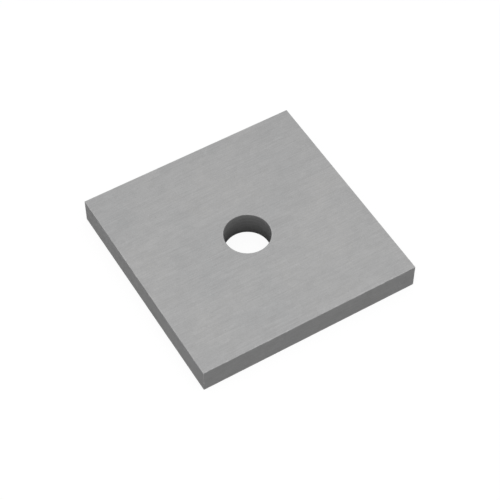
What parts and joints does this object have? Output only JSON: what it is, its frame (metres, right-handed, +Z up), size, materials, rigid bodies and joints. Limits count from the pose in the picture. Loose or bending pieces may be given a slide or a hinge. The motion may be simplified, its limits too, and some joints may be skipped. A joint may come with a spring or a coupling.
{
  "type": "single hole flat plate",
  "caption": "Square flat steel plate with one plain round hole through its centre, for spreading a bolt's load over framing.",
  "frame": {"origin": "middle of the underside, on the hole's axis", "axes": "+Z up along the hole's axis, +X and +Y along the plate's sides; -Y is the side that faces the camera most in the picture"},
  "size_m": [0.05, 0.05, 0.006],
  "materials": {
    "dull_steel": "matte"
  },
  "bodies": {
    "root": {"flat_plate": "dull_steel"}
  },
  "joints": []
}
